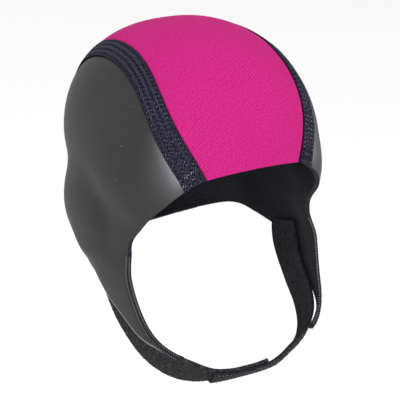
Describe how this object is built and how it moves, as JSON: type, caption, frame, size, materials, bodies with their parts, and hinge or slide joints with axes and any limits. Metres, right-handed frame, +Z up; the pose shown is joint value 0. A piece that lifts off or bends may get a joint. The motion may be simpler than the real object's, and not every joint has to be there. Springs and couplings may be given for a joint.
{
  "type": "neoprene swim cap",
  "caption": "Soft neoprene hood for open-water swimming, with a bright jersey crown between taped seams, smooth ear panels and a closed fleecy chin strap.",
  "frame": {"origin": "inside face of the crown at the top of the head hollow, where the cap sits on the wearer", "axes": "+Z up, +X to the wearer's left, the face opening towards -Y"},
  "size_m": [0.1512, 0.1785, 0.2188],
  "materials": {
    "jersey": "fine knit jersey bonded to neoprene, with diagonal wales",
    "seam_tape": "ribbed knit tape under cover stitching, with pale thread flecks",
    "smooth_skin": "satin smooth-skin neoprene",
    "loop_pile": "fuzzy unbroken-loop pile"
  },
  "bodies": {
    "root": {"crown_panel": "jersey", "seam_tape_right": "seam_tape", "seam_tape_left": "seam_tape", "side_panel_right": "smooth_skin", "side_panel_left": "smooth_skin", "chin_strap": "loop_pile", "strap_tab": "seam_tape"}
  },
  "joints": []
}
